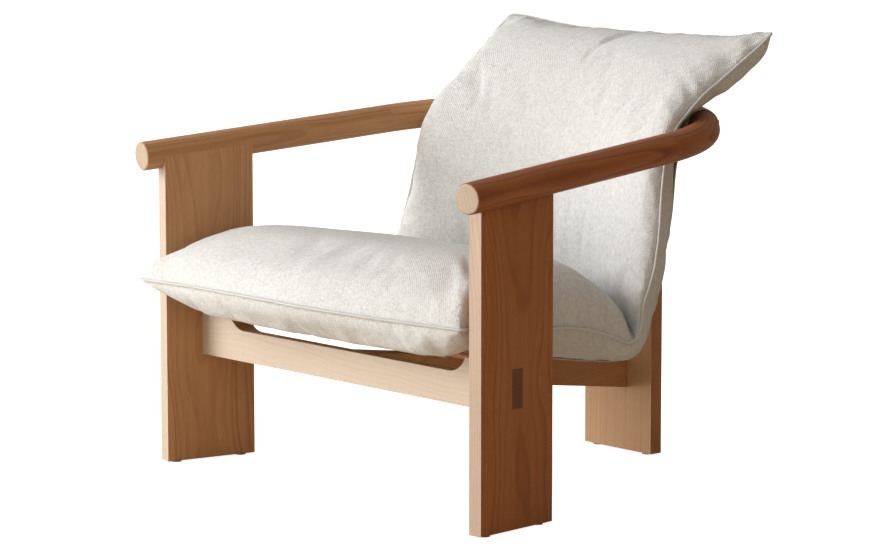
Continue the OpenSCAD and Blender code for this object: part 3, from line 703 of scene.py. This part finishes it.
def make_zip(cover):
    """Tape, two rows of teeth and a slider, sewn on the rear of the cushion near its top."""
    tree = BVHTree.FromObject(cover, bpy.context.evaluated_depsgraph_get())
    def laid(x_mm, u, d):
        """mm points that lie d above the filled cover, found by looking at it from outside."""
        start = skin(x_mm, u, 0.0) + SHIFT
        out = outward(x_mm / along(SIDE, u)[..., 0], u)
        flat_start, flat_out = start.reshape(-1, 3), out.reshape(-1, 3)
        found = []
        for a, n in zip(flat_start, flat_out):
            hit = tree.ray_cast(Vector((a + 30 * n) * MM), Vector(-n), 0.06)[0]
            found.append((np.array(hit) / MM if hit is not None else a) + n * d)
        return np.array(found).reshape(start.shape) - SHIFT
    u, x = np.meshgrid(np.linspace(ZIP_FROM, ZIP_TO, 9), np.linspace(-200, 200, 90), indexing="ij")
    p = (laid(x, u, 0.7) + SHIFT) * MM
    tape = mesh_object("zip_tape", p.reshape(-1, 3), grid_faces(*u.shape))
    cloth_at(tape, x.ravel() * MM, u.ravel() * LENGTH_M)
    thick = tape.modifiers.new("tape_thickness", "SOLIDIFY")
    thick.thickness = 0.0009
    thick.offset = 0
    verts, faces = [], []
    box = np.array([[i, j, k] for i in (-1, 1) for j in (-1, 1) for k in (-1, 1)], float)
    box_faces = [(0, 1, 3, 2), (4, 6, 7, 5), (0, 4, 5, 1), (2, 3, 7, 6), (0, 2, 6, 4), (1, 5, 7, 3)]
    right = np.array([1.0, 0, 0])
    for i in range(TEETH):
        x0 = np.array([-190 + TOOTH_PITCH * i])
        row = 1 if i % 2 else -1
        c = laid(x0, np.array([ZIP_MID + row * 0.0009]), 1.8)[0]
        d = (skin(x0, np.array([0.949]), 1.9) - skin(x0, np.array([0.941]), 1.9))[0]
        d /= np.linalg.norm(d)
        n = np.cross(right, d)
        start = len(verts)
        for bx, by, bz in box:
            taper = 0.7 if by * row < 0 else 1.0
            verts.append((c + right * bx * 0.72 * taper + d * by * 1.9 + n * bz * 0.75 + SHIFT) * MM)
        faces += [tuple(start + k for k in q) for q in box_faces]
    teeth = mesh_object("zip_teeth", verts, faces, smooth=False)
    c = laid(np.array([-190.0]), np.array([ZIP_MID]), 2.9)[0]
    verts, faces = [], []
    outline = [(-6, -3.2), (-4, -4.4), (3, -4.8), (6, -3.0), (6, 3.0), (3, 4.8), (-4, 4.4), (-6, 3.2)]
    for z0, z1, k in ((-1.8, -0.6, 1.0), (0.6, 1.8, 1.0), (1.8, 3.0, 0.45)):
        start = len(verts)
        top = start + 8
        for z in (z0, z1):
            for px, py in outline:
                verts.append((c + right * px * k + d * py * k + n * z + SHIFT) * MM)
        faces += [tuple(start + j for j in reversed(range(8))), tuple(top + j for j in range(8))]
        faces += [(start + j, start + (j + 1) % 8, top + (j + 1) % 8, top + j) for j in range(8)]
    ring = [c + n * 3.2 + right * (14 + 11 * math.cos(a)) + d * 3.2 * math.sin(a)
            for a in np.linspace(0, 2 * math.pi, 28, endpoint=False)]
    pts, tf = tube((np.array(ring) + SHIFT) * MM, 0.0007, 6)
    start = len(verts)
    verts += list(pts)
    faces += [tuple(start + i for i in f) for f in tf]
    slider = mesh_object("zip_slider", verts, faces, smooth=False)
    return tape, teeth, slider


# ---- light, floor ----

FLOOR_HALF, FLOOR_CELLS = 9.0, 12


def add_floor():
    """Pale paper. The camera sees it white, and it throws warm light back onto the chair."""
    g = np.linspace(-FLOOR_HALF, FLOOR_HALF, FLOOR_CELLS + 1)
    y, x = np.meshgrid(g, g, indexing="ij")
    floor = mesh_object("floor", np.stack([x, y, x * 0], -1).reshape(-1, 3), grid_faces(*x.shape))
    m = Shader("floor_paper")
    p = m.add("TexCoord", out=3)
    tone = m.fit(m.noise(p, 3.0, 3.0), 0.3, 0.7)
    color = m.mix(tone, rgb(0.80, 0.80, 0.80), rgb(0.83, 0.83, 0.83))
    diffuse = m.add("BsdfDiffuse", {"Color": color})
    glow = m.add("Emission", {"Color": rgb(1, 1, 1), "Strength": 0.88})
    seen = m.add("LightPath", out=0)
    dim = m.add("BsdfDiffuse", {"Color": rgb(0.66, 0.55, 0.42)})
    both = m.add("AddShader", {0: diffuse, 1: glow})
    m.add("OutputMaterial", {"Surface": m.add("MixShader", {0: seen, 1: dim, 2: both})})
    floor.data.materials.append(m.material)


def add_world():
    """Soft light, white on the key's side and warm on the other. The camera sees plain white."""
    world = bpy.data.worlds.new("studio")
    bpy.context.scene.world = world
    world.use_nodes = True
    t = world.node_tree
    t.nodes.clear()
    def new(kind, **p):
        n = t.nodes.new("ShaderNode" + kind)
        for k, v in p.items():
            setattr(n, k, v)
        return n
    geo = new("TexCoord")
    dot = new("VectorMath", operation="DOT_PRODUCT")
    toward = Vector((-0.62, -0.70, 0.36)).normalized()
    dot.inputs[1].default_value = toward
    t.links.new(geo.outputs["Generated"], dot.inputs[0])
    ramp = new("ValToRGB")
    t.links.new(dot.outputs["Value"], ramp.inputs[0])
    e = ramp.color_ramp.elements
    e[0].position, e[0].color = 0.0, (0.24, 0.122, 0.054, 1)
    e[1].position, e[1].color = 1.0, (1.0, 1.0, 1.0, 1)
    mid = ramp.color_ramp.elements.new(0.35)
    mid.color = (0.41, 0.365, 0.305, 1)
    scale = new("MapRange")
    t.links.new(dot.outputs["Value"], scale.inputs[0])
    scale.inputs[1].default_value = -1
    scale.inputs[2].default_value = 1
    t.links.new(scale.outputs[0], ramp.inputs[0])
    light = new("Background")
    light.inputs[1].default_value = 0.75
    t.links.new(ramp.outputs[0], light.inputs[0])
    plain = new("Background")
    plain.inputs[0].default_value = (1, 1, 1, 1)
    plain.inputs[1].default_value = 1.05
    path = new("LightPath")
    mix = new("MixShader")
    out = new("OutputWorld")
    t.links.new(path.outputs[0], mix.inputs[0])
    t.links.new(light.outputs[0], mix.inputs[1])
    t.links.new(plain.outputs[0], mix.inputs[2])
    t.links.new(mix.outputs[0], out.inputs[0])


def add_lamp(name, at, aim, size, power, color):
    data = bpy.data.lights.new(name, "AREA")
    data.shape = "RECTANGLE"
    data.size, data.size_y = size
    data.energy = power
    data.color = color
    o = bpy.data.objects.new(name, data)
    o.location = at
    o.rotation_mode = "QUATERNION"
    o.rotation_quaternion = (Vector(aim) - Vector(at)).to_track_quat("-Z", "Y")
    bpy.context.collection.objects.link(o)


# ---- build ----

add_camera()
bpy.context.scene.view_settings.view_transform = "Standard"
add_world()
add_floor()
# A key from the picture's left, a low lamp and a kick off the floor for the seat's front, and a
# warm fill from behind the camera
add_lamp("key", (-3.7, -4.8, 2.7), (0, 0, 0.4), (3.2, 2.6), 345, (1.0, 1.0, 1.0))
add_lamp("low", (-2.8, -4.2, 0.5), (0, 0, 0.3), (2.0, 0.8), 55, (1.0, 1.0, 1.0))
add_lamp("kick", (-1.5, -2.3, 0.06), (0, -0.3, 0.33), (1.6, 0.5), 16, (1.0, 1.0, 1.0))
add_lamp("fill", (3.4, -2.6, 2.6), (0, 0, 0.4), (2.0, 2.0), 14, (1.0, 0.80, 0.60))

UPRIGHT = (0.0, 0.0, 0.0)
ALONG_X = (0.0, math.pi / 2, 0.0)
SEAT_FALL = math.radians(7.1)
RAIL_RINGS = 0.0075                          # growth rings of the round rail, metres apart
REAR_Y = 684                                 # the rear board's front face


def place(x, y, z):
    return ((x + SHIFT[0]) * MM, (y + SHIFT[1]) * MM, (z + SHIFT[2]) * MM)


def give(name, material):
    node[name].data.materials.clear()
    node[name].data.materials.append(material)


# Local coordinates, seed, pith, contrast, depth, share of painted colour, painted light and shade colours.
# The left board's depth of 1.50 is painted shade for its shaded side and the rear board's 0.69 is painted
# light; the boards' narrow faces take the pale painted highlight, and the rear board's side faces the dark
# painted shade.
boards = {
    "left_front_board": (straight(place(HALF_W, 0, 0), (0, 0, TOE)), 1.0, (0.16, 0.10),
                         0.40, 1.50, 0.75, (PAINTED_LIT_EDGE, PAINTED_LIT_EDGE_DARK)),
    "right_front_board": (straight(place(-HALF_W, 0, 0), (0, 0, -TOE)), 2.0, (-0.13, 0.07),
                          0.55, 0.90, 1.0, (PAINTED_LIT_EDGE, PAINTED_LIT_EDGE_DARK)),
    "rear_board": (straight(place(0, REAR_Y, 0), (0, 0, math.pi / 2)), 3.0, (0.02, 0.15),
                   0.50, 0.69, 0.88, (PAINTED_SHADE_SIDE, PAINTED_SHADE_SIDE_DARK)),
}
for name, (local, seed, pith, contrast, depth, edge, painted_light_and_shade) in boards.items():
    give(name, wood(name + "_wood", local, seed, pith, contrast, depth, edge=edge, painted_light_and_shade=painted_light_and_shade))
# The front rail's share of 1.0 paints the pale highlight colours on its front face, which looks to the key
# light.
flat_rails = {
    "front_rail": (straight(place(0, 65, 184), ALONG_X), 4.0, (0.05, 0.12), 0.22, 1.0),
    "centre_stretcher": (straight(place(0, 105, 200), (math.pi / 2 + SEAT_FALL, 0, 0)), 5.0,
                         (0.08, 0.06), 0.25, 0.0),
}
for name, (local, seed, pith, contrast, edge) in flat_rails.items():
    give(name, wood(name + "_wood", local, seed, pith, contrast, edge=edge, end_grain_and_painted_light=TENON))


def arm_turn(side):
    """The arm runs back along its own Z: laid down, leaned up, turned in."""
    lean = Euler((LEAN, 0, 0)).to_matrix()
    toe = Euler((0, 0, side * TOE)).to_matrix()
    lay = Euler((-math.pi / 2, 0, 0)).to_matrix()
    return tuple((lean @ toe @ lay).to_euler())


for side, word in ((1, "left"), (-1, "right")):
    depth = 1.30 + 0.35 * side               # painted shade: the sitter's left arm and bend, on the shaded side, are darker and redder
    origin = tuple(from_rail_plane(np.array([side * HALF_W, 0.0, 0.0])))
    give(word + "_arm", wood(word + "_arm_wood", straight(origin, arm_turn(side)), 6.0 + side,
                             (-side * 0.11, 0.012), 0.60, depth, RAIL_RINGS))
    centre = tuple(from_rail_plane(np.array([side * BEND_X, BEND_Y, 0.0])))
    give(word + "_bend", wood(word + "_bend_wood", curved(centre, side, LEAN, BEND_R * MM), 8.0 + side,
                              (0.09, 0.020), 0.6, depth, RAIL_RINGS))
origin = tuple(from_rail_plane(np.array([0.0, PLAN_BACK, 0.0])))
give("back_rail", wood("back_rail_wood", straight(origin, ALONG_X), 10.0, (0.09, 0.02),
                       0.5, 1.15, RAIL_RINGS))
DOWEL_PITH, DOWEL_CONTRAST = (0.01, 0.3), 0.3
for i, name in enumerate(("left_board_dowels", "right_board_dowels", "rear_board_dowels",
                          "arm_joint_dowels", "back_joint_dowels")):
    give(name, wood(name + "_wood", straight((0, 0, 0), UPRIGHT), 11.0 + i, DOWEL_PITH, DOWEL_CONTRAST))
# The rod's depth of 1.2 is painted shade, darker where it lies in the shade of the front rail's dip.
give("sling_rod", wood("sling_rod_wood", straight((0, 0, 0), ALONG_X), 16.0, DOWEL_PITH, DOWEL_CONTRAST, 1.2))

steel = metal("zinc_steel", (0.62, 0.63, 0.65), 0.32)
for name in ("sling_screws", "sling_washers"):
    give(name, steel)
give("floor_glides", plastic("nylon", (0.30, 0.28, 0.26)))

# Softened edges: width in mm
for name, width, segments in (("left_front_board", 1.6, 3), ("right_front_board", 1.6, 3),
                              ("rear_board", 1.6, 3), ("front_rail", 1.4, 3),
                              ("centre_stretcher", 1.4, 3), ("floor_glides", 0.6, 2),
                              ("sling_rod", 0.8, 2), ("sling_screws", 0.5, 2), ("sling_washers", 0.2, 1)):
    weld = node[name].modifiers.new("weld", "WELD")
    weld.merge_threshold = 0.00002
    edge = node[name].modifiers.new("soft_edges", "BEVEL")
    edge.width = width * MM
    edge.segments = segments
    edge.limit_method = "ANGLE"
    edge.angle_limit = math.radians(40)
    edge.harden_normals = True
    edge.use_clamp_overlap = True

CLOTH, CLOTH_SHADE = rgb(0.85, 0.855, 0.84), rgb(0.57, 0.565, 0.535)
cushion, xx, uu, is_front, on_edge = make_cushion()
inflate(cushion, uu, is_front, on_edge)
pucker(cushion, xx, uu, is_front, on_edge)
smooth = cushion.modifiers.new("smooth", "SUBSURF")
smooth.levels = smooth.render_levels = 1
cushion.data.materials.append(weave("cushion_cloth", CLOTH, CLOTH_SHADE, 0.0021, 0.0046, 0.9))
piping = make_piping()
piping.data.materials.append(cord_cloth("piping_cloth", rgb(0.72, 0.715, 0.69), CLOTH_SHADE, 0.0016))
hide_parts("seat_cushion", "back_cushion")
for piece in (cushion, piping):
    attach(piece, "cushion")

tape, teeth, slider = make_zip(cushion)
tape.data.materials.append(weave("zip_cloth", rgb(0.72, 0.71, 0.67), rgb(0.5, 0.49, 0.45),
                                 0.0008, 0.002, 0.4))
teeth.data.materials.append(plastic("zip_teeth_plastic", (0.66, 0.65, 0.61)))
slider.data.materials.append(metal("zip_metal", (0.60, 0.60, 0.60), 0.35))
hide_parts("cushion_zip")
for piece in (tape, teeth, slider):
    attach(piece, "cushion")

sling = make_sling()
sling.data.materials.append(weave("sling_canvas", rgb(0.66, 0.60, 0.50), rgb(0.46, 0.41, 0.33),
                                  0.0011, 0.003, 0.5))
thread = make_sling_stitches()
thread.data.materials.append(weave("sling_thread", rgb(0.74, 0.69, 0.60), rgb(0.5, 0.46, 0.38),
                                   0.0011, 0.003, 0.3))
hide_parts("sling_panel", "sling_front_sleeve", "sling_back_sleeve")
for piece in (sling, thread):
    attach(piece, "frame")
